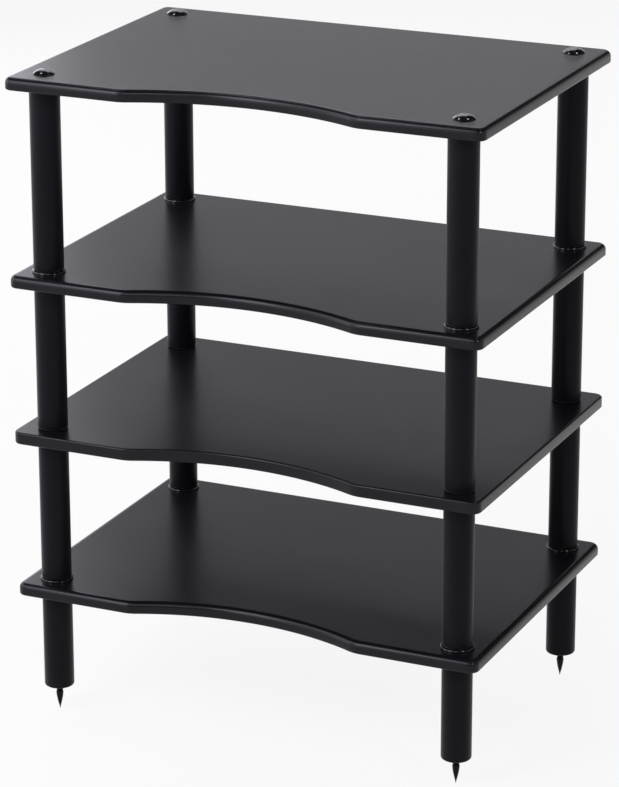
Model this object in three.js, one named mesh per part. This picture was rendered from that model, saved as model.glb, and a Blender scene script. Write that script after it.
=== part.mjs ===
// Audio equipment rack with four bowed shelves on round steel posts.
// Each corner is a stack of tubes with a shelf clamped at every joint: threaded studs run
// through the three lower shelves, domed bolts hold the top one and spikes stand on the floor.
// Millimetres, +Z up. X runs across the width and the bowed front edges face -Y.
// The origin is on the floor, under the middle of the shelves.

import * as THREE from "three";

// Shelves
const SHELF_WIDTH = 600;
const SHELF_DEPTH = 422;
const SHELF_THICKNESS = 15;
const SHELF_CORNER_RADIUS = 12;
const ROUNDED_EDGE_RADIUS = 7;
const CRISP_EDGE_RADIUS = 2.5;
const BOTTOM_EDGE_RADIUS = 2;
const SHELF_BORE_CLEARANCE = 0.5;

// Bow of the front edge: its chord on the front line, its depth and the bends into it
const BOW_CHORD = 292;
const BOW_DEPTH = 33;
const BOW_BEND_RADIUS = 40;

// Clear heights, from the underside of a shelf to what is below it
const UPPER_BAY_HEIGHT = 225;
const MIDDLE_BAY_HEIGHT = 180;
const LOWER_BAY_HEIGHT = 180;
const FOOT_HEIGHT = 125;

// Posts: tubes with a tapped plate welded into each end
const POST_DIAMETER = 36.5;
const POST_WALL = 1.5;
const POST_END_RADIUS = 3;
const END_PLATE_THICKNESS = 6;
const POST_SIDE_INSET = 37;
const POST_FRONT_INSET = 36;
const POST_BACK_INSET = 37;

// Ring washers between a shelf and the post that stands on it
const RING_DIAMETER = 40;
const RING_THICKNESS = 3;
const RING_EDGE_RADIUS = 1.2;

// Threads, drawn as plain rods, and how far they reach into a post
const THREAD_DIAMETER = 8;
const THREAD_CLEARANCE = 0.3;
const THREAD_ENGAGEMENT = 12;
const THREAD_CHAMFER = 1;

// Domed bolts on the top shelf
const DOME_DIAMETER = 25.5;
const DOME_HEIGHT = 6;
const DOME_RIM_HEIGHT = 1;

// Floor spikes: a pointed cone below a threaded shank
const SPIKE_CONE_DIAMETER = 9;
const SPIKE_CONE_LENGTH = 22;
const SPIKE_SHOULDER_LENGTH = 1.5;
const SPIKE_NECK_LENGTH = 8.5;
const SPIKE_SHANK_LENGTH = 24;
const SPIKE_TIP_DIAMETER = 1;

// Height along the cone and radius there, as shares of its length and radius
const spikeConeShares = [[0.25, 0.34], [0.5, 0.65], [0.75, 0.88], [1, 1]];

// Steps that curves are drawn with
const POST_SIDES = 20;
const RING_SIDES = 20;
const DOME_SIDES = 20;
const STUD_SIDES = 8;
const SPIKE_SIDES = 12;
const BORE_SIDES = 12;
const POST_END_STEPS = 2;
const RING_EDGE_STEPS = 1;
const DOME_STEPS = 4;
const CORNER_STEPS = 4;
const BEND_STEPS = 3;
const BOW_STEPS = 14;
const TOP_EDGE_STEPS = 3;
const BOTTOM_EDGE_STEPS = 1;

// Values worked out from the sizes above
const FRONT_LINE = -SHELF_DEPTH / 2;
const BACK_LINE = SHELF_DEPTH / 2;
const BOW_RADIUS = ((BOW_CHORD / 2) ** 2 + BOW_DEPTH ** 2) / (2 * BOW_DEPTH);
const BOW_CENTRE_Y = FRONT_LINE + BOW_DEPTH - BOW_RADIUS;
const BEND_CENTRE_Y = FRONT_LINE + BOW_BEND_RADIUS;
const BEND_CENTRE_X = Math.sqrt((BOW_RADIUS + BOW_BEND_RADIUS) ** 2 - (BEND_CENTRE_Y - BOW_CENTRE_Y) ** 2);
const THREAD_RADIUS = THREAD_DIAMETER / 2;
const POST_BORE_RADIUS = THREAD_RADIUS + THREAD_CLEARANCE;
const SHELF_BORE_RADIUS = THREAD_RADIUS + SHELF_BORE_CLEARANCE;
const SPIKE_EXPOSED_LENGTH = SPIKE_CONE_LENGTH + SPIKE_SHOULDER_LENGTH + SPIKE_NECK_LENGTH;
const RIGHT_ANGLE = Math.PI / 2;

// Corner stacks, by name and place
const POST_X = SHELF_WIDTH / 2 - POST_SIDE_INSET;
const CORNERS = [
  { name: "front_left", x: -POST_X, y: FRONT_LINE + POST_FRONT_INSET },
  { name: "front_right", x: POST_X, y: FRONT_LINE + POST_FRONT_INSET },
  { name: "back_left", x: -POST_X, y: BACK_LINE - POST_BACK_INSET },
  { name: "back_right", x: POST_X, y: BACK_LINE - POST_BACK_INSET },
];

// Tiers from the floor up, each with the shelf that lies on its posts
const TIERS = [
  { name: "foot", height: FOOT_HEIGHT, ringed: false, shelf: "bottom", edge: ROUNDED_EDGE_RADIUS },
  { name: "lower", height: LOWER_BAY_HEIGHT, ringed: true, shelf: "lower", edge: CRISP_EDGE_RADIUS },
  { name: "middle", height: MIDDLE_BAY_HEIGHT, ringed: false, shelf: "upper", edge: ROUNDED_EDGE_RADIUS },
  { name: "upper", height: UPPER_BAY_HEIGHT, ringed: true, shelf: "top", edge: ROUNDED_EDGE_RADIUS },
];

const shelfMaterial = new THREE.MeshStandardMaterial({ color: 0x37373a, roughness: 0.5, metalness: 0 });
const postMaterial = new THREE.MeshStandardMaterial({ color: 0x19191c, roughness: 0.45, metalness: 0.2 });
const ringMaterial = new THREE.MeshStandardMaterial({ color: 0x0b0b0c, roughness: 0.15, metalness: 0 });
const domeMaterial = new THREE.MeshStandardMaterial({ color: 0x0a0a0b, roughness: 0.12, metalness: 0.3 });
const spikeMaterial = new THREE.MeshStandardMaterial({ color: 0x101011, roughness: 0.4, metalness: 0.8 });
const studMaterial = new THREE.MeshStandardMaterial({ color: 0x9a9da0, roughness: 0.35, metalness: 1 });

// Points on an arc, both ends included
function arcPoints(centreX, centreY, radius, fromAngle, toAngle, steps) {
  const points = [];
  for (let step = 0; step <= steps; step += 1) {
    const angle = fromAngle + ((toAngle - fromAngle) * step) / steps;
    points.push([centreX + radius * Math.cos(angle), centreY + radius * Math.sin(angle)]);
  }
  return points;
}

// Solid turned about Z from [radius, height] points that run outwards, up and back inwards
function turnedSolid(profile, sides) {
  const points = profile.map(([radius, height]) => new THREE.Vector2(radius, height));
  const geometry = new THREE.LatheGeometry(points, sides);
  geometry.rotateX(RIGHT_ANGLE);
  return geometry;
}

// Plan outline of a shelf with all its edges drawn in by an inset, anticlockwise from the front left
function shelfOutline(inset) {
  const cornerX = SHELF_WIDTH / 2 - SHELF_CORNER_RADIUS;
  const cornerY = SHELF_DEPTH / 2 - SHELF_CORNER_RADIUS;
  const cornerRadius = SHELF_CORNER_RADIUS - inset;
  const bendRadius = BOW_BEND_RADIUS - inset;
  const bowRadius = BOW_RADIUS + inset;
  const swing = Math.atan2(BEND_CENTRE_X, BEND_CENTRE_Y - BOW_CENTRE_Y);
  const bow = arcPoints(0, BOW_CENTRE_Y, bowRadius, RIGHT_ANGLE + swing, RIGHT_ANGLE - swing, BOW_STEPS);
  return [
    ...arcPoints(-cornerX, -cornerY, cornerRadius, -2 * RIGHT_ANGLE, -RIGHT_ANGLE, CORNER_STEPS),
    ...arcPoints(-BEND_CENTRE_X, BEND_CENTRE_Y, bendRadius, -RIGHT_ANGLE, swing - RIGHT_ANGLE, BEND_STEPS),
    ...bow.slice(1, -1),
    ...arcPoints(BEND_CENTRE_X, BEND_CENTRE_Y, bendRadius, -swing - RIGHT_ANGLE, -RIGHT_ANGLE, BEND_STEPS),
    ...arcPoints(cornerX, -cornerY, cornerRadius, -RIGHT_ANGLE, 0, CORNER_STEPS),
    ...arcPoints(cornerX, cornerY, cornerRadius, 0, RIGHT_ANGLE, CORNER_STEPS),
    ...arcPoints(-cornerX, cornerY, cornerRadius, RIGHT_ANGLE, 2 * RIGHT_ANGLE, CORNER_STEPS),
  ];
}

// Bands between neighbouring loops of points, with the first loop lowest
function joinLoops(indices, firstVertex, loopLength, loopCount, facesInwards) {
  for (let loop = 0; loop + 1 < loopCount; loop += 1) {
    for (let point = 0; point < loopLength; point += 1) {
      const next = (point + 1) % loopLength;
      const low = firstVertex + loop * loopLength;
      const high = low + loopLength;
      const quad = [low + point, low + next, high + next, high + point];
      if (facesInwards) quad.reverse();
      indices.push(quad[0], quad[1], quad[2], quad[0], quad[2], quad[3]);
    }
  }
}

// Shelf board: its outline lofted over a rounded top edge and a small bottom edge, with four bores
function shelfGeometry(topEdgeRadius) {
  const bottomEdge = arcPoints(
    BOTTOM_EDGE_RADIUS, BOTTOM_EDGE_RADIUS, BOTTOM_EDGE_RADIUS, -RIGHT_ANGLE, -2 * RIGHT_ANGLE, BOTTOM_EDGE_STEPS,
  );
  const topEdge = arcPoints(
    topEdgeRadius, SHELF_THICKNESS - topEdgeRadius, topEdgeRadius, 2 * RIGHT_ANGLE, RIGHT_ANGLE, TOP_EDGE_STEPS,
  );
  const levels = [...bottomEdge, ...topEdge];
  const positions = [];
  const indices = [];
  for (const [inset, height] of levels) {
    for (const [x, y] of shelfOutline(inset)) positions.push(x, y, height);
  }
  const outlineLength = shelfOutline(0).length;
  joinLoops(indices, 0, outlineLength, levels.length, false);

  const boreStart = positions.length / 3;
  const bores = CORNERS.map(({ x, y }) =>
    arcPoints(x, y, SHELF_BORE_RADIUS, 0, 4 * RIGHT_ANGLE, BORE_SIDES).slice(0, -1));
  bores.forEach((bore, number) => {
    for (const height of [0, SHELF_THICKNESS]) {
      for (const [x, y] of bore) positions.push(x, y, height);
    }
    joinLoops(indices, boreStart + number * 2 * BORE_SIDES, BORE_SIDES, 2, true);
  });

  const toVectors = (points) => points.map(([x, y]) => new THREE.Vector2(x, y));
  for (const isTop of [false, true]) {
    const level = isTop ? levels.length - 1 : 0;
    const outline = shelfOutline(levels[level][0]);
    const vertexOf = outline.map((_, point) => level * outlineLength + point);
    bores.forEach((bore, number) => {
      const loopStart = boreStart + (number * 2 + (isTop ? 1 : 0)) * BORE_SIDES;
      bore.forEach((_, point) => vertexOf.push(loopStart + point));
    });
    const faces = THREE.ShapeUtils.triangulateShape(toVectors(outline), bores.map(toVectors));
    for (const [a, b, c] of faces) {
      const corners = isTop ? [a, b, c] : [c, b, a];
      indices.push(...corners.map((corner) => vertexOf[corner]));
    }
  }

  const geometry = new THREE.BufferGeometry();
  geometry.setAttribute("position", new THREE.Float32BufferAttribute(positions, 3));
  geometry.setIndex(indices);
  geometry.computeVertexNormals();
  return geometry;
}

// Tube with rounded ends, closed by welded end plates that the threads go into
function postGeometry(length) {
  const outer = POST_DIAMETER / 2;
  const inner = outer - POST_WALL;
  const edge = outer - POST_END_RADIUS;
  return turnedSolid([
    [POST_BORE_RADIUS, 0],
    ...arcPoints(edge, POST_END_RADIUS, POST_END_RADIUS, -RIGHT_ANGLE, 0, POST_END_STEPS),
    ...arcPoints(edge, length - POST_END_RADIUS, POST_END_RADIUS, 0, RIGHT_ANGLE, POST_END_STEPS),
    [POST_BORE_RADIUS, length],
    [POST_BORE_RADIUS, length - END_PLATE_THICKNESS],
    [inner, length - END_PLATE_THICKNESS],
    [inner, END_PLATE_THICKNESS],
    [POST_BORE_RADIUS, END_PLATE_THICKNESS],
    [POST_BORE_RADIUS, 0],
  ], POST_SIDES);
}

// Flat ring with a rounded outer top edge
function ringGeometry() {
  const outer = RING_DIAMETER / 2;
  const edge = outer - RING_EDGE_RADIUS;
  return turnedSolid([
    [SHELF_BORE_RADIUS, 0],
    [outer, 0],
    ...arcPoints(edge, RING_THICKNESS - RING_EDGE_RADIUS, RING_EDGE_RADIUS, 0, RIGHT_ANGLE, RING_EDGE_STEPS),
    [SHELF_BORE_RADIUS, RING_THICKNESS],
    [SHELF_BORE_RADIUS, 0],
  ], RING_SIDES);
}

// Double-ended stud, from its lower end up
function studGeometry(length) {
  return turnedSolid([
    [0, 0],
    [THREAD_RADIUS - THREAD_CHAMFER, 0],
    [THREAD_RADIUS, THREAD_CHAMFER],
    [THREAD_RADIUS, length - THREAD_CHAMFER],
    [THREAD_RADIUS - THREAD_CHAMFER, length],
    [0, length],
  ], STUD_SIDES);
}

// Domed head over a shank that passes through the shelf, with the seat of the head at height zero
function domeBoltGeometry() {
  const headRadius = DOME_DIAMETER / 2;
  const shankEnd = -SHELF_THICKNESS - THREAD_ENGAGEMENT;
  const rise = DOME_HEIGHT - DOME_RIM_HEIGHT;
  const domeRadius = (headRadius ** 2 + rise ** 2) / (2 * rise);
  const centre = DOME_HEIGHT - domeRadius;
  const rimAngle = Math.atan2(DOME_RIM_HEIGHT - centre, headRadius);
  const dome = arcPoints(0, centre, domeRadius, rimAngle, RIGHT_ANGLE, DOME_STEPS);
  return turnedSolid([
    [0, shankEnd],
    [THREAD_RADIUS - THREAD_CHAMFER, shankEnd],
    [THREAD_RADIUS, shankEnd + THREAD_CHAMFER],
    [THREAD_RADIUS, 0],
    [headRadius, 0],
    ...dome.slice(0, -1),
    [0, DOME_HEIGHT],
  ], DOME_SIDES);
}

// Spike standing on its tip, with its shank up inside the foot post
function spikeGeometry() {
  const tipRadius = SPIKE_TIP_DIAMETER / 2;
  const coneRadius = SPIKE_CONE_DIAMETER / 2;
  const cone = spikeConeShares.map(([height, radius]) => [coneRadius * radius, SPIKE_CONE_LENGTH * height]);
  const top = SPIKE_EXPOSED_LENGTH + SPIKE_SHANK_LENGTH;
  return turnedSolid([
    [0, 0],
    [tipRadius, 0],
    ...cone,
    [THREAD_RADIUS, SPIKE_CONE_LENGTH + SPIKE_SHOULDER_LENGTH],
    [THREAD_RADIUS, top - THREAD_CHAMFER],
    [THREAD_RADIUS - THREAD_CHAMFER, top],
    [0, top],
  ], SPIKE_SIDES);
}

const rack = new THREE.Group();

function place(name, geometry, material, x, y, z) {
  const mesh = new THREE.Mesh(geometry, material.clone());
  mesh.name = name;
  mesh.position.set(x, y, z);
  rack.add(mesh);
}

// Spikes, standing on the floor
for (const { name, x, y } of CORNERS) {
  place(`floor_spike_${name}`, spikeGeometry(), spikeMaterial, x, y, 0);
}

// Tiers, stacked from the foot posts up
let level = SPIKE_EXPOSED_LENGTH;
TIERS.forEach((tier, number) => {
  const ringHeight = tier.ringed ? RING_THICKNESS : 0;
  for (const { name, x, y } of CORNERS) {
    if (tier.ringed) place(`ring_washer_${tier.name}_${name}`, ringGeometry(), ringMaterial, x, y, level);
    const post = postGeometry(tier.height - ringHeight);
    place(`${tier.name}_post_${name}`, post, postMaterial, x, y, level + ringHeight);
  }
  level += tier.height;
  place(`${tier.shelf}_shelf`, shelfGeometry(tier.edge), shelfMaterial, 0, 0, level);

  const above = TIERS[number + 1];
  for (const { name, x, y } of CORNERS) {
    if (above) {
      const clamped = SHELF_THICKNESS + (above.ringed ? RING_THICKNESS : 0);
      const stud = studGeometry(clamped + 2 * THREAD_ENGAGEMENT);
      place(`${tier.shelf}_stud_${name}`, stud, studMaterial, x, y, level - THREAD_ENGAGEMENT);
    } else {
      place(`dome_bolt_${name}`, domeBoltGeometry(), domeMaterial, x, y, level + SHELF_THICKNESS);
    }
  }
  level += SHELF_THICKNESS;
});

export default rack;
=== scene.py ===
# Looks of the audio equipment rack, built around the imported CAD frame.
# Metres, +Z up. X runs across the width and the bowed front edges face -Y.

from math import atan2, cos, pi, radians, sin, sqrt, tan

import bpy
from mathutils import Matrix, Vector
from mathutils.geometry import tessellate_polygon


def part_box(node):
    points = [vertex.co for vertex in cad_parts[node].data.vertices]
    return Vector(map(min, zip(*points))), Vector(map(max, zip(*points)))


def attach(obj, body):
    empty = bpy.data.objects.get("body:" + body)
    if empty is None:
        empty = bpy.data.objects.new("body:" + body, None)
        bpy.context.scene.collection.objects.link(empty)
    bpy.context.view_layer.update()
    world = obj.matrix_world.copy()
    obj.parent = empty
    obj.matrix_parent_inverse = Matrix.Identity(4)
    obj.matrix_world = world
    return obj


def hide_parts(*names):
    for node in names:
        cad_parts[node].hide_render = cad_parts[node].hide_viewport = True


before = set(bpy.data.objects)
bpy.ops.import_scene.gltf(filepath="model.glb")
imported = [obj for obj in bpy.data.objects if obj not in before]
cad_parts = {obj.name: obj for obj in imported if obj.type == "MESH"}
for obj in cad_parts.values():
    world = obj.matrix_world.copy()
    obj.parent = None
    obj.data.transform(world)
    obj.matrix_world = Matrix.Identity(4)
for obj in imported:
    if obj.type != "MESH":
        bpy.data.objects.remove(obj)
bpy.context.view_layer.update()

MM = 0.001
RIGHT_ANGLE = pi / 2
HALF_TURN = pi
FULL_TURN = 2 * pi

# Picture size, focal length and optical axis of the photograph, in pixels
PICTURE_WIDTH = 619
PICTURE_HEIGHT = 787
FOCAL_PIXELS = 3484
AXIS_PIXEL_X = 270
AXIS_PIXEL_Y = 360

# Place of its camera, and how it is turned in degrees
CAMERA_PLACE = (1.6454, -3.6464, 1.7512)
CAMERA_YAW = 25.02
CAMERA_PITCH = 18.22
CAMERA_ROLL = -0.3

# Sensor size in millimetres, which runs along the longer side of the picture, here its height
SENSOR_WIDTH = 36

# Shelf outline and edges
CORNER_RADIUS = 12 * MM
BOW_CHORD = 292 * MM
BOW_DEPTH = 33 * MM
BEND_RADIUS = 40 * MM
ROUNDED_EDGE_RADIUS = 7 * MM
CRISP_EDGE_RADIUS = 2.5 * MM
BOTTOM_EDGE_RADIUS = 2 * MM
SHELF_BORE_RADIUS = 4.5 * MM

# Strip beside a rounded edge that keeps the flat next to it evenly shaded
FLAT_MARGIN = 1 * MM

# Trim line under a shelf, where the foil that wraps it ends
TRIM_LINE_INSET = 3.2 * MM
TRIM_LINE_WIDTH = 0.6 * MM
TRIM_LINE_DEPTH = 0.4 * MM

# Posts and rings
POST_WALL = 1.5 * MM
POST_END_RADIUS = 3 * MM
END_PLATE_THICKNESS = 6 * MM
POST_BORE_RADIUS = 4.3 * MM
COUNTERSINK = 0.6 * MM
RING_EDGE_RADIUS = 1.2 * MM
RING_FOOT_CHAMFER = 0.2 * MM

# Threads, where the flat share is the part of a pitch that crest and root each fill
THREAD_RADIUS = 4 * MM
THREAD_PITCH = 1.25 * MM
THREAD_DEPTH = 0.65 * MM
THREAD_CHAMFER = 1 * MM
THREAD_FLAT_SHARE = 0.15

# Dome bolts and spikes, whose cone bulges more with a higher power
DOME_RIM_HEIGHT = 1 * MM
DOME_FOOT_CHAMFER = 0.2 * MM
SPIKE_CONE_LENGTH = 22 * MM
SPIKE_SHOULDER_LENGTH = 1.5 * MM
SPIKE_TIP_RADIUS = 0.5 * MM
SPIKE_BULGE = 1.5

# Steps that curves are drawn with
CORNER_STEPS = 14
BEND_STEPS = 12
BOW_STEPS = 64
TOP_EDGE_STEPS = 14
BOTTOM_EDGE_STEPS = 5
POST_SIDES = 96
RING_SIDES = 96
DOME_SIDES = 96
THREAD_SIDES = 32
END_STEPS = 10
DOME_STEPS = 16
CONE_STEPS = 20
THREAD_STEPS_PER_PITCH = 8
SHARP_ANGLE = radians(40)

CORNERS = ("front_left", "front_right", "back_left", "back_right")

# Radius of the upper edge of each shelf
SHELVES = {
    "top": ROUNDED_EDGE_RADIUS,
    "upper": ROUNDED_EDGE_RADIUS,
    "lower": CRISP_EDGE_RADIUS,
    "bottom": ROUNDED_EDGE_RADIUS,
}

# Sizes read from the CAD frame
shelf_low, shelf_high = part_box("top_shelf")
HALF_WIDTH = shelf_high.x
HALF_DEPTH = shelf_high.y
SHELF_THICKNESS = shelf_high.z - shelf_low.z
DOME_SEAT = shelf_high.z

# Bow of the front edge, worked out from its chord and depth
BOW_RADIUS = ((BOW_CHORD / 2) ** 2 + BOW_DEPTH**2) / (2 * BOW_DEPTH)
BOW_CENTRE_Y = -HALF_DEPTH + BOW_DEPTH - BOW_RADIUS
BEND_CENTRE_Y = -HALF_DEPTH + BEND_RADIUS
BEND_CENTRE_X = sqrt((BOW_RADIUS + BEND_RADIUS) ** 2 - (BEND_CENTRE_Y - BOW_CENTRE_Y) ** 2)
BOW_SWING = atan2(BEND_CENTRE_X, BEND_CENTRE_Y - BOW_CENTRE_Y)


# Shapes

def arc(centre_x, centre_y, radius, start, end, steps):
    """Points on an arc, both ends included."""
    angles = [start + (end - start) * step / steps for step in range(steps + 1)]
    return [(centre_x + radius * cos(angle), centre_y + radius * sin(angle)) for angle in angles]


def circle(radius, height, sides):
    """One level loop of a turned piece."""
    points = arc(0, 0, radius, 0, FULL_TURN, sides)[:-1]
    return [(x, y, height) for x, y in points]


def thread_loop(height, sides, limit):
    """One level loop through a right-hand thread, no wider than the limit."""
    loop = []
    for side in range(sides):
        angle = FULL_TURN * side / sides
        phase = (height / THREAD_PITCH - angle / FULL_TURN) % 1
        rise = (1 - abs(2 * phase - 1) - THREAD_FLAT_SHARE) / (1 - 2 * THREAD_FLAT_SHARE)
        radius = THREAD_RADIUS - THREAD_DEPTH * (1 - min(max(rise, 0), 1))
        radius = min(radius, limit)
        loop.append((radius * cos(angle), radius * sin(angle), height))
    return loop


def threaded_loops(low, high, sides, chamfer_low=True, chamfer_high=True):
    """Loops up a threaded rod, with the ends that are asked for chamfered."""
    steps = round((high - low) / THREAD_PITCH * THREAD_STEPS_PER_PITCH)
    loops = []
    for step in range(steps + 1):
        height = low + (high - low) * step / steps
        limit = THREAD_RADIUS
        if chamfer_low:
            limit = min(limit, THREAD_RADIUS - THREAD_CHAMFER + height - low)
        if chamfer_high:
            limit = min(limit, THREAD_RADIUS - THREAD_CHAMFER + high - height)
        loops.append(thread_loop(height, sides, limit))
    return loops


def band(faces, lower, upper, length):
    """Adds the faces between two loops, which face out where the loops run anticlockwise."""
    for point in range(length):
        following = (point + 1) % length
        faces.append((lower + point, lower + following, upper + following, upper + point))


def skin(loops):
    """Vertices of loops of equal length, and the faces between each loop and the next."""
    length = len(loops[0])
    vertices = [point for loop in loops for point in loop]
    faces = []
    for number in range(len(loops) - 1):
        band(faces, number * length, (number + 1) * length, length)
    return vertices, faces


def loft(loops, closed=False):
    """Skin whose last loop joins the first if it is closed, and with a fan at each end if not."""
    vertices, faces = skin(loops)
    length = len(loops[0])
    last = len(vertices) - length
    if closed:
        band(faces, last, 0, length)
        return vertices, faces
    bottom = len(vertices)
    top = bottom + 1
    vertices += [(0, 0, loops[0][0][2]), (0, 0, loops[-1][0][2])]
    for point in range(length):
        following = (point + 1) % length
        faces.append((bottom, following, point))
        faces.append((top, last + point, last + following))
    return vertices, faces


def turned(profile, sides):
    """Turned piece whose closed profile of radius and height pairs runs out, up and in."""
    return loft([circle(radius, height, sides) for radius, height in profile], closed=True)


def shelf_outline(inset):
    """Plan outline of a shelf drawn in by an inset, anticlockwise from the front left."""
    corner_x = HALF_WIDTH - CORNER_RADIUS
    corner_y = HALF_DEPTH - CORNER_RADIUS
    corner = CORNER_RADIUS - inset
    bend = BEND_RADIUS - inset
    bow_start = RIGHT_ANGLE + BOW_SWING
    bow_end = RIGHT_ANGLE - BOW_SWING
    bow = arc(0, BOW_CENTRE_Y, BOW_RADIUS + inset, bow_start, bow_end, BOW_STEPS)
    return [
        *arc(-corner_x, -corner_y, corner, -HALF_TURN, -RIGHT_ANGLE, CORNER_STEPS),
        *arc(-BEND_CENTRE_X, BEND_CENTRE_Y, bend, -RIGHT_ANGLE, BOW_SWING - RIGHT_ANGLE, BEND_STEPS),
        *bow[1:-1],
        *arc(BEND_CENTRE_X, BEND_CENTRE_Y, bend, -BOW_SWING - RIGHT_ANGLE, -RIGHT_ANGLE, BEND_STEPS),
        *arc(corner_x, -corner_y, corner, -RIGHT_ANGLE, 0, CORNER_STEPS),
        *arc(corner_x, corner_y, corner, 0, RIGHT_ANGLE, CORNER_STEPS),
        *arc(-corner_x, corner_y, corner, RIGHT_ANGLE, HALF_TURN, CORNER_STEPS),
    ]


def shelf_levels(edge_radius):
    """Inset and height pairs from the flat of the underside, round the edge, to the flat top."""
    trim_end = TRIM_LINE_INSET + TRIM_LINE_WIDTH
    edge_foot = BOTTOM_EDGE_RADIUS
    edge_top = SHELF_THICKNESS - edge_radius
    return [
        (trim_end + FLAT_MARGIN, 0),
        (trim_end, 0),
        (TRIM_LINE_INSET + TRIM_LINE_WIDTH / 2, TRIM_LINE_DEPTH),
        (TRIM_LINE_INSET, 0),
        *arc(edge_foot, edge_foot, edge_foot, -RIGHT_ANGLE, -HALF_TURN, BOTTOM_EDGE_STEPS),
        *arc(edge_radius, edge_top, edge_radius, HALF_TURN, RIGHT_ANGLE, TOP_EDGE_STEPS),
        (edge_radius + FLAT_MARGIN, SHELF_THICKNESS),
    ]


def level_cap(vertices, loops, indices, facing_up):
    """Triangles over a level outline with holes, from its loops and their points' indices."""
    triangles = []
    for triangle in tessellate_polygon([[Vector(point) for point in loop] for loop in loops]):
        a, b, c = (Vector(vertices[indices[corner]]) for corner in triangle)
        turned_up = (b - a).cross(c - a).z > 0
        corners = triangle if turned_up == facing_up else reversed(triangle)
        triangles.append(tuple(indices[corner] for corner in corners))
    return triangles


def shelf_board(edge_radius, bore_places):
    """Board with its outline lofted round both edges and a bore at each post."""
    levels = shelf_levels(edge_radius)
    loops = [[(x, y, height) for x, y in shelf_outline(inset)] for inset, height in levels]
    vertices, faces = skin(loops)
    length = len(loops[0])
    last = len(vertices) - length
    cap_loops = {0: [loops[0]], SHELF_THICKNESS: [loops[-1]]}
    cap_indices = {0: list(range(length)), SHELF_THICKNESS: list(range(last, last + length))}
    for bore_x, bore_y in bore_places:
        bore = arc(bore_x, bore_y, SHELF_BORE_RADIUS, 0, FULL_TURN, THREAD_SIDES)[:-1]
        lower = len(vertices)
        for height in (0, SHELF_THICKNESS):
            cap_loops[height].append([(x, y, height) for x, y in bore])
            cap_indices[height] += range(len(vertices), len(vertices) + len(bore))
            vertices += cap_loops[height][-1]
        band(faces, lower + len(bore), lower, len(bore))
    for height in (0, SHELF_THICKNESS):
        faces += level_cap(vertices, cap_loops[height], cap_indices[height], height > 0)
    return vertices, faces


def post_tube(radius, length):
    """Tube with rounded ends and a bored, countersunk plate in each."""
    edge = radius - POST_END_RADIUS
    inner = radius - POST_WALL
    return turned([
        (POST_BORE_RADIUS + COUNTERSINK, 0),
        (edge - FLAT_MARGIN, 0),
        *arc(edge, POST_END_RADIUS, POST_END_RADIUS, -RIGHT_ANGLE, 0, END_STEPS),
        *arc(edge, length - POST_END_RADIUS, POST_END_RADIUS, 0, RIGHT_ANGLE, END_STEPS),
        (edge - FLAT_MARGIN, length),
        (POST_BORE_RADIUS + COUNTERSINK, length),
        (POST_BORE_RADIUS, length - COUNTERSINK),
        (POST_BORE_RADIUS, length - END_PLATE_THICKNESS),
        (inner, length - END_PLATE_THICKNESS),
        (inner, END_PLATE_THICKNESS),
        (POST_BORE_RADIUS, END_PLATE_THICKNESS),
        (POST_BORE_RADIUS, COUNTERSINK),
    ], POST_SIDES)


def ring_washer(radius, thickness):
    """Moulded ring with a rounded outer edge on top."""
    edge = radius - RING_EDGE_RADIUS
    return turned([
        (SHELF_BORE_RADIUS, 0),
        (radius - RING_FOOT_CHAMFER, 0),
        (radius, RING_FOOT_CHAMFER),
        *arc(edge, thickness - RING_EDGE_RADIUS, RING_EDGE_RADIUS, 0, RIGHT_ANGLE, END_STEPS),
        (edge - FLAT_MARGIN, thickness),
        (SHELF_BORE_RADIUS, thickness),
    ], RING_SIDES)


def stud(length):
    """Stud threaded along its whole length."""
    return loft(threaded_loops(0, length, THREAD_SIDES))


def dome_bolt(radius, height, shank_end):
    """Domed head on a threaded shank, with the seat of the head at height zero."""
    rise = height - DOME_RIM_HEIGHT
    dome_radius = (radius**2 + rise**2) / (2 * rise)
    centre = height - dome_radius
    rim_angle = atan2(DOME_RIM_HEIGHT - centre, radius)
    head = [
        (radius - DOME_FOOT_CHAMFER, 0),
        (radius, DOME_FOOT_CHAMFER),
        *arc(0, centre, dome_radius, rim_angle, RIGHT_ANGLE, DOME_STEPS)[:-1],
    ]
    loops = threaded_loops(shank_end, 0, DOME_SIDES, chamfer_high=False)
    loops += [circle(loop_radius, loop_height, DOME_SIDES) for loop_radius, loop_height in head]
    return loft(loops)


def spike(cone_radius, top):
    """Spike that stands on its tip, with a threaded shank above its cone."""
    loops = []
    for step in range(CONE_STEPS + 1):
        height = SPIKE_CONE_LENGTH * step / CONE_STEPS
        share = 1 - (1 - height / SPIKE_CONE_LENGTH) ** SPIKE_BULGE
        loops.append(circle(max(SPIKE_TIP_RADIUS, cone_radius * share), height, THREAD_SIDES))
    neck = SPIKE_CONE_LENGTH + SPIKE_SHOULDER_LENGTH
    loops += threaded_loops(neck, top, THREAD_SIDES, chamfer_low=False)
    return loft(loops)


def make_mesh(name, shape, material):
    """Mesh with smooth curves and sharp corners."""
    vertices, faces = shape
    mesh = bpy.data.meshes.new(name)
    mesh.from_pydata(vertices, [], faces)
    mesh.update()
    mesh.shade_smooth()
    mesh.set_sharp_from_angle(angle=SHARP_ANGLE)
    mesh.materials.append(material)
    return mesh


def dress(node, mesh, body, place):
    """Puts a piece where its CAD node is and lets it stand for that node."""
    piece = bpy.data.objects.new(f"{node}_piece", mesh)
    piece.location = place
    bpy.context.scene.collection.objects.link(piece)
    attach(piece, body)
    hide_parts(node)


# Materials

# Sockets of the mix node, which share their names and so go by number
MIX_SHARE = 0
MIX_VALUE_A = 2
MIX_VALUE_B = 3
MIX_VALUE_RESULT = 0
MIX_COLOUR_A = 6
MIX_COLOUR_B = 7
MIX_COLOUR_RESULT = 2

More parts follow.
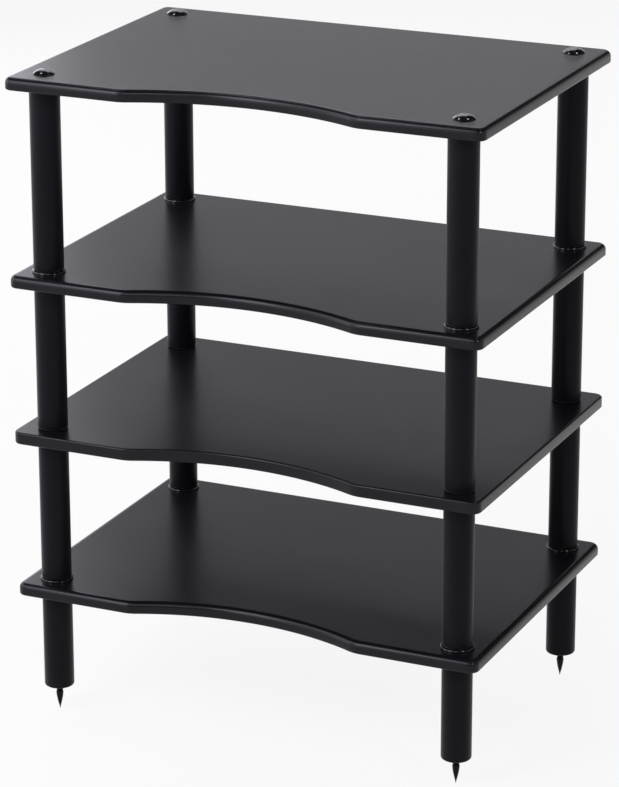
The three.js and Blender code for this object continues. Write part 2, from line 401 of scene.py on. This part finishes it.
# Pointiness at which an edge starts to look worn, and at which it is fully worn
WEAR_START = 0.52
WEAR_FULL = 0.62

# Foil of the shelves, whose colour takes a share of that of rubbed foil
FOIL_SPECULAR = 0.2
FOIL_SPECULAR_TINT = (0.97, 0.95, 1, 1)
FOIL_CLOUD_SIZE = 90 * MM
FOIL_PEBBLE_SIZE = 0.7 * MM
FOIL_PEBBLE_DEPTH = 0.012 * MM
FOIL_FIBRE_SIZE = 0.35 * MM
FOIL_FIBRE_DEPTH = 0.006 * MM
FOIL_DARK = (0.0036, 0.0033, 0.0046)
FOIL_PALE = (0.0053, 0.0049, 0.0068)
FOIL_RUBBED_FLAT = (0.0045, 0.0045, 0.0055)
FOIL_RUBBED_EDGE = (0.014, 0.014, 0.016)
FOIL_RUBBED_SHARE = 0.3
FOIL_ROUGHNESS = (0.23, 0.27)
FOIL_FIBRE_ROUGHNESS = (-0.03, 0.03)

# Powder coat of the posts
COAT_SPECULAR = 0.07
COAT_SPECULAR_TINT = (0.93, 0.88, 1, 1)
COAT_SHEEN = 0.2
COAT_SHEEN_ROUGHNESS = 0.35
COAT_PATCH_SIZE = 40 * MM
COAT_PEEL_SIZE = 1.6 * MM
COAT_PEEL_DEPTH = 0.02 * MM
COAT_SPECK_SIZE = 0.4 * MM
COAT_SPECK_DEPTH = 0.004 * MM
COAT_DARK = (0.0045, 0.0041, 0.0055)
COAT_PALE = (0.006, 0.0055, 0.0073)
COAT_EDGE = (0.009, 0.009, 0.01)
COAT_ROUGHNESS = (0.32, 0.4)

# Gloss black of the dome bolts and the rings, and how much paler it is at an edge
GLOSS_IOR = 1.5
GLOSS_LEVEL = 0.004
GLOSS_EDGE_GAIN = (2, 2, 2.1)
GLOSS_HAZE_SIZE = 6 * MM
GLOSS_HAIRLINE_SIZE = 0.5 * MM
GLOSS_HAIRLINE_DETAIL = 6
GLOSS_HAIRLINE_DEPTH = 0.001 * MM
DOME_ROUGHNESS = (0.05, 0.09)
RING_ROUGHNESS = (0.08, 0.14)

# Steel, zinc on the studs and black oxide on the spikes, and how much paler it is at an edge.
# The wave texture draws about three turning rings to one wave size.
STEEL_PATCH_SIZE = 3 * MM
STEEL_WAVE_SIZE = 4 * MM
STEEL_WAVE_DISTORTION = 1
STEEL_RING_DEPTH = 0.003 * MM
STEEL_EDGE_GAIN = 2.5
ZINC_DARK = (0.42, 0.43, 0.45)
ZINC_PALE = (0.55, 0.55, 0.56)
ZINC_ROUGHNESS = (0.28, 0.42)
OXIDE_DARK = (0.009, 0.009, 0.01)
OXIDE_PALE = (0.014, 0.014, 0.015)
OXIDE_ROUGHNESS = (0.28, 0.4)


def add_node(tree, kind, inputs=None, **settings):
    """New node whose inputs take values or other nodes' outputs."""
    node = tree.nodes.new(kind)
    for name, value in settings.items():
        setattr(node, name, value)
    for name, value in (inputs or {}).items():
        if isinstance(value, bpy.types.NodeSocket):
            tree.links.new(value, node.inputs[name])
        else:
            node.inputs[name].default_value = value
    return node


def maths(tree, operation, first, second):
    """Result of an operation on two values."""
    node = add_node(tree, "ShaderNodeMath", {0: first, 1: second}, operation=operation)
    return node.outputs["Value"]


def piece_place(tree):
    """Place on the piece, moved by a random step so that no two pieces share a pattern."""
    place = add_node(tree, "ShaderNodeTexCoord").outputs["Object"]
    step = add_node(tree, "ShaderNodeObjectInfo").outputs["Random"]
    moved = add_node(tree, "ShaderNodeVectorMath", {0: place, 1: step}, operation="ADD")
    return moved.outputs["Vector"]


def noise(tree, place, size, detail=2):
    """Noise with blobs about one size across."""
    inputs = {"Vector": place, "Scale": 1 / size, "Detail": detail}
    return add_node(tree, "ShaderNodeTexNoise", inputs).outputs["Fac"]


def cells(tree, place, size):
    """Distance from the middle of rounded cells about one size across."""
    inputs = {"Vector": place, "Scale": 1 / size}
    return add_node(tree, "ShaderNodeTexVoronoi", inputs).outputs["Distance"]


def spread(tree, value, low, high, start=0, end=1):
    """Value mapped so that start becomes low and end becomes high."""
    inputs = {"Value": value, "From Min": start, "From Max": end, "To Min": low, "To Max": high}
    return add_node(tree, "ShaderNodeMapRange", inputs).outputs["Result"]


def blend(tree, share, first, second):
    """Colour between two others, each given as three levels or as a node's output."""
    inputs = {MIX_SHARE: share}
    for socket, colour in ((MIX_COLOUR_A, first), (MIX_COLOUR_B, second)):
        inputs[socket] = (*colour, 1) if isinstance(colour, tuple) else colour
    return add_node(tree, "ShaderNodeMix", inputs, data_type="RGBA").outputs[MIX_COLOUR_RESULT]


def relief(tree, height, depth, under=None):
    """Normal bent by a height map of a given depth, over another relief if there is one."""
    inputs = {"Height": height, "Distance": depth, "Strength": 1}
    if under:
        inputs["Normal"] = under
    return add_node(tree, "ShaderNodeBump", inputs).outputs["Normal"]


def edge_wear(tree):
    """One on edges that stand out and zero elsewhere."""
    pointiness = add_node(tree, "ShaderNodeNewGeometry").outputs["Pointiness"]
    return spread(tree, pointiness, 0, 1, start=WEAR_START, end=WEAR_FULL)


def new_material(name, constants):
    """Material with the constants set on its shader's own sockets."""
    material = bpy.data.materials.new(name)
    material.use_nodes = True
    tree = material.node_tree
    shader = tree.nodes["Principled BSDF"]
    for socket, value in constants.items():
        shader.inputs[socket].default_value = value
    return material, tree, shader


def connect(tree, shader, sources):
    """Links each source to the shader socket of its name."""
    for socket, source in sources.items():
        tree.links.new(source, shader.inputs[socket])


def vinyl_foil():
    """Satin black foil with a fine pebbled grain."""
    material, tree, shader = new_material("vinyl_foil", {
        "Specular IOR Level": FOIL_SPECULAR,
        "Specular Tint": FOIL_SPECULAR_TINT,
    })
    place = piece_place(tree)
    clouds = noise(tree, place, FOIL_CLOUD_SIZE)
    pebbles = cells(tree, place, FOIL_PEBBLE_SIZE)
    fibres = noise(tree, place, FOIL_FIBRE_SIZE)
    base = blend(tree, clouds, FOIL_DARK, FOIL_PALE)
    rubbed = blend(tree, edge_wear(tree), FOIL_RUBBED_FLAT, FOIL_RUBBED_EDGE)
    smooth = spread(tree, clouds, *FOIL_ROUGHNESS)
    grain = relief(tree, fibres, FOIL_FIBRE_DEPTH)
    connect(tree, shader, {
        "Base Color": blend(tree, FOIL_RUBBED_SHARE, base, rubbed),
        "Roughness": maths(tree, "ADD", smooth, spread(tree, fibres, *FOIL_FIBRE_ROUGHNESS)),
        "Normal": relief(tree, pebbles, FOIL_PEBBLE_DEPTH, grain),
    })
    return material


def powder_coat():
    """Satin black powder coat with a slight orange peel."""
    material, tree, shader = new_material("powder_coat", {
        "Specular IOR Level": COAT_SPECULAR,
        "Specular Tint": COAT_SPECULAR_TINT,
        "Sheen Weight": COAT_SHEEN,
        "Sheen Roughness": COAT_SHEEN_ROUGHNESS,
    })
    place = piece_place(tree)
    patches = noise(tree, place, COAT_PATCH_SIZE)
    peel = noise(tree, place, COAT_PEEL_SIZE)
    specks = noise(tree, place, COAT_SPECK_SIZE)
    base = blend(tree, patches, COAT_DARK, COAT_PALE)
    grain = relief(tree, specks, COAT_SPECK_DEPTH)
    connect(tree, shader, {
        "Base Color": blend(tree, edge_wear(tree), base, COAT_EDGE),
        "Roughness": spread(tree, specks, *COAT_ROUGHNESS),
        "Normal": relief(tree, peel, COAT_PEEL_DEPTH, grain),
    })
    return material


def gloss_black(name, roughness):
    """Polished black with faint hairlines."""
    material, tree, shader = new_material(name, {"IOR": GLOSS_IOR})
    place = piece_place(tree)
    haze = noise(tree, place, GLOSS_HAZE_SIZE)
    hairlines = noise(tree, place, GLOSS_HAIRLINE_SIZE, GLOSS_HAIRLINE_DETAIL)
    base = (GLOSS_LEVEL, GLOSS_LEVEL, GLOSS_LEVEL)
    edge = tuple(GLOSS_LEVEL * gain for gain in GLOSS_EDGE_GAIN)
    connect(tree, shader, {
        "Base Color": blend(tree, edge_wear(tree), base, edge),
        "Roughness": spread(tree, haze, *roughness),
        "Normal": relief(tree, hairlines, GLOSS_HAIRLINE_DEPTH),
    })
    return material


def turned_steel(name, dark, pale, roughness):
    """Steel with the fine rings that turning leaves."""
    material, tree, shader = new_material(name, {"Metallic": 1})
    place = piece_place(tree)
    patches = noise(tree, place, STEEL_PATCH_SIZE)
    waves = {"Vector": place, "Scale": 1 / STEEL_WAVE_SIZE, "Distortion": STEEL_WAVE_DISTORTION}
    rings = add_node(tree, "ShaderNodeTexWave", waves, bands_direction="Z").outputs["Fac"]
    base = blend(tree, patches, dark, pale)
    edge = tuple(min(1, STEEL_EDGE_GAIN * level) for level in pale)
    connect(tree, shader, {
        "Base Color": blend(tree, edge_wear(tree), base, edge),
        "Roughness": spread(tree, patches, *roughness),
        "Normal": relief(tree, rings, STEEL_RING_DEPTH),
    })
    return material


# Pieces

def corner_place(corner):
    """Axis of a corner's posts."""
    low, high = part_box(f"floor_spike_{corner}")
    return (low.x + high.x) / 2, (low.y + high.y) / 2


def node_size(node):
    """Width and height of a turned CAD node."""
    low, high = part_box(node)
    return high.x - low.x, high.z - low.z


def add_shelves():
    """One board for each shelf, all of the same foil."""
    material = vinyl_foil()
    bores = [corner_place(corner) for corner in CORNERS]
    for name, edge_radius in SHELVES.items():
        node = f"{name}_shelf"
        mesh = make_mesh(node, shelf_board(edge_radius, bores), material)
        dress(node, mesh, "rack", (0, 0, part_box(node)[0].z))


def add_turned(prefixes, body, material, shape, seat=None):
    """One mesh for each prefix, set on every corner at a seat's height or at its own node's foot.

    The name of each piece's corner fills {corner} in the body's name.
    """
    for prefix in prefixes:
        mesh = None
        for corner in CORNERS:
            node = f"{prefix}_{corner}"
            mesh = mesh or make_mesh(prefix, shape(node), material)
            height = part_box(node)[0].z if seat is None else seat
            dress(node, mesh, body.format(corner=corner), (*corner_place(corner), height))


def post_shape(node):
    """Post as wide and long as its node."""
    width, length = node_size(node)
    return post_tube(width / 2, length)


def ring_shape(node):
    """Ring washer as wide and thick as its node."""
    width, thickness = node_size(node)
    return ring_washer(width / 2, thickness)


def stud_shape(node):
    """Stud as long as its node."""
    return stud(node_size(node)[1])


def spike_shape(node):
    """Spike as wide and high as its node."""
    width, height = node_size(node)
    return spike(width / 2, height)


def dome_shape(node):
    """Dome bolt as wide as its node, with its head above the seat and its shank below."""
    low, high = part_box(node)
    return dome_bolt((high.x - low.x) / 2, high.z - DOME_SEAT, low.z - DOME_SEAT)


# Studio

# Floor, whose diffuse paper shows through a white glow
FLOOR_RADIUS = 60
FLOOR_SIDES = 128
FLOOR_CLOUD_SIZE = 0.4
FLOOR_GREYS = (0.8, 0.84)
FLOOR_WHITE = 0.98
FLOOR_GLOW_SHARE = 0.9

# Sky, whose light and look fade between heights of their own, as the sine of the elevation
LOW_SKY = 0.3
HIGH_SKY = 0.06
HORIZON_WHITE = 0.89
LIGHT_FADE_START = 0.05
LIGHT_FADE_END = 0.3
LOOK_FADE_START = 0.12
LOOK_FADE_END = 0.2

# Lamps
LAMP_COLOUR = (0.94, 0.915, 1)
RACK_MIDDLE = (0, 0, 0.6)
SKY_BOX_AIM = (0, 0, 0.5)
SKY_BOX_DISTANCE = 3.2


def seen_share(tree):
    """One for rays that see the background, straight, mirrored or through glass, and else zero."""
    rays = add_node(tree, "ShaderNodeLightPath").outputs
    straight_or_mirrored = maths(tree, "MAXIMUM", rays["Is Camera Ray"], rays["Is Glossy Ray"])
    return maths(tree, "MAXIMUM", straight_or_mirrored, rays["Is Transmission Ray"])


def add_floor():
    """Plain pale floor that looks white and keeps the rack's shadow."""
    mesh = bpy.data.meshes.new("floor")
    mesh.from_pydata(circle(FLOOR_RADIUS, 0, FLOOR_SIDES), [], [list(range(FLOOR_SIDES))])
    material = bpy.data.materials.new("floor_paper")
    material.use_nodes = True
    tree = material.node_tree
    tree.nodes.remove(tree.nodes["Principled BSDF"])
    place = add_node(tree, "ShaderNodeTexCoord").outputs["Object"]
    grey = spread(tree, noise(tree, place, FLOOR_CLOUD_SIZE), *FLOOR_GREYS)
    paper = add_node(tree, "ShaderNodeBsdfDiffuse", {"Color": grey})
    glow = add_node(tree, "ShaderNodeEmission", {"Color": (1, 1, 1, 1), "Strength": FLOOR_WHITE})
    mixed = add_node(tree, "ShaderNodeMixShader", {
        0: maths(tree, "MULTIPLY", seen_share(tree), FLOOR_GLOW_SHARE),
        1: paper.outputs["BSDF"],
        2: glow.outputs["Emission"],
    })
    tree.links.new(mixed.outputs["Shader"], tree.nodes["Material Output"].inputs["Surface"])
    mesh.materials.append(material)
    floor = bpy.data.objects.new("floor", mesh)
    bpy.context.scene.collection.objects.link(floor)


def add_world():
    """Dim soft sky that looks nearly as white as the floor just above the horizon."""
    world = bpy.data.worlds.new("studio")
    world.use_nodes = True
    tree = world.node_tree
    heading = add_node(tree, "ShaderNodeTexCoord").outputs["Generated"]
    height = add_node(tree, "ShaderNodeSeparateXYZ", {0: heading}).outputs["Z"]
    light = spread(tree, height, LOW_SKY, HIGH_SKY, LIGHT_FADE_START, LIGHT_FADE_END)
    look = spread(tree, height, HORIZON_WHITE, HIGH_SKY, LOOK_FADE_START, LOOK_FADE_END)
    inputs = {MIX_SHARE: seen_share(tree), MIX_VALUE_A: light, MIX_VALUE_B: look}
    strength = add_node(tree, "ShaderNodeMix", inputs).outputs[MIX_VALUE_RESULT]
    background = tree.nodes["Background"]
    background.inputs["Color"].default_value = (1, 1, 1, 1)
    tree.links.new(strength, background.inputs["Strength"])
    bpy.context.scene.world = world


def soft_box(name, place, aim, width, height, brightness):
    """Area lamp that faces the point it aims at, where brightness 1 looks white."""
    lamp = bpy.data.lights.new(name, "AREA")
    lamp.shape = "RECTANGLE"
    lamp.size = width
    lamp.size_y = height
    lamp.energy = brightness * pi * width * height
    lamp.color = LAMP_COLOUR
    holder = bpy.data.objects.new(name, lamp)
    holder.location = place
    holder.rotation_mode = "QUATERNION"
    holder.rotation_quaternion = (Vector(aim) - Vector(place)).to_track_quat("-Z", "Y")
    holder.visible_camera = False
    bpy.context.scene.collection.objects.link(holder)


def sky_box(name, azimuth, low, high, width, brightness):
    """Soft box seen from the rack at an azimuth, between two elevations, all in degrees."""
    turn = radians(azimuth)
    rise = radians((low + high) / 2)
    heading = Vector((cos(turn) * cos(rise), sin(turn) * cos(rise), sin(rise)))
    aim = Vector(SKY_BOX_AIM)
    across = 2 * SKY_BOX_DISTANCE * tan(radians(width / 2))
    tall = 2 * SKY_BOX_DISTANCE * tan(radians((high - low) / 2))
    soft_box(name, aim + heading * SKY_BOX_DISTANCE, aim, across, tall, brightness)


def add_lamps():
    """Soft boxes, each with its place, its size and last its brightness."""
    # Small lamps over the rack
    soft_box("overhead_left", (-1.08, 0.05, 3.1), RACK_MIDDLE, 0.36, 0.36, 13)
    soft_box("overhead_right", (0.95, 0.6, 3.5), RACK_MIDDLE, 0.36, 0.36, 15)
    # Large boxes behind it, the first of which faces straight down but for a hair
    soft_box("back_overhead", (-1.2, 2.6, 3.4), (-1.2, 2.601, 0), 2.4, 2.4, 2.6)
    soft_box("back_high", (-0.9, 3.05, 2.5), RACK_MIDDLE, 2.2, 1.2, 1.15)
    soft_box("back_left", (-2.26, 2.26, 1.7), RACK_MIDDLE, 1.2, 2.2, 1.9)
    soft_box("back_low", (-1.6, 3.4, 1.0), RACK_MIDDLE, 3.2, 1.2, 0.48)
    # Small bright box at the front right
    soft_box("right_spot", (2.68, -1.45, 2.14), RACK_MIDDLE, 0.6, 0.6, 22)
    # Boxes from the front round to the left, and a dim one at the right
    sky_box("front_left_high", -118, 26, 49, 17, 10.5)
    sky_box("front_left_middle", -118, 12, 27, 22, 4.2)
    sky_box("front_left_low", -120, -4, 13, 34, 1.4)
    sky_box("front_right", -80, 27, 42, 24, 5.5)
    sky_box("front_side_high", -148, 27, 44, 32, 4)
    sky_box("front_side_low", -152, -4, 27, 30, 1.3)
    sky_box("left_middle", 178, 12, 28, 60, 2.6)
    sky_box("left_low", 178, -4, 12, 70, 1.3)
    sky_box("right_fill", 20, 5, 35, 50, 0.6)


def add_camera():
    """Camera at the photograph's place, with its optical axis at the photograph's pixel."""
    yaw = radians(CAMERA_YAW)
    pitch = radians(CAMERA_PITCH)
    roll = radians(CAMERA_ROLL)
    forward = Vector((-sin(yaw) * cos(pitch), cos(yaw) * cos(pitch), -sin(pitch)))
    level = Vector((cos(yaw), sin(yaw), 0))
    upright = level.cross(forward)
    right = level * cos(roll) + upright * sin(roll)
    up = upright * cos(roll) - level * sin(roll)
    turn = Matrix((right, up, -forward)).transposed().to_4x4()
    lens = bpy.data.cameras.new("camera")
    lens.sensor_width = SENSOR_WIDTH
    lens.lens = FOCAL_PIXELS * SENSOR_WIDTH / PICTURE_HEIGHT
    lens.shift_x = (PICTURE_WIDTH / 2 - AXIS_PIXEL_X) / PICTURE_HEIGHT
    lens.shift_y = (AXIS_PIXEL_Y - PICTURE_HEIGHT / 2) / PICTURE_HEIGHT
    lens.clip_end = 2 * FLOOR_RADIUS
    camera = bpy.data.objects.new("camera", lens)
    camera.matrix_world = Matrix.Translation(CAMERA_PLACE) @ turn
    bpy.context.scene.collection.objects.link(camera)
    bpy.context.scene.camera = camera


add_camera()
add_world()
add_lamps()
add_floor()
add_shelves()
add_turned(
    ("foot_post", "lower_post", "middle_post", "upper_post"), "rack",
    powder_coat(), post_shape)
add_turned(
    ("ring_washer_lower", "ring_washer_upper"), "rack",
    gloss_black("ring_gloss", RING_ROUGHNESS), ring_shape)
add_turned(
    ("bottom_stud", "lower_stud", "upper_stud"), "rack",
    turned_steel("zinc", ZINC_DARK, ZINC_PALE, ZINC_ROUGHNESS), stud_shape)
add_turned(
    ("floor_spike",), "spike_{corner}",
    turned_steel("black_oxide", OXIDE_DARK, OXIDE_PALE, OXIDE_ROUGHNESS), spike_shape)
add_turned(
    ("dome_bolt",), "rack",
    gloss_black("dome_gloss", DOME_ROUGHNESS), dome_shape, seat=DOME_SEAT)

bpy.context.scene.view_settings.view_transform = "Standard"
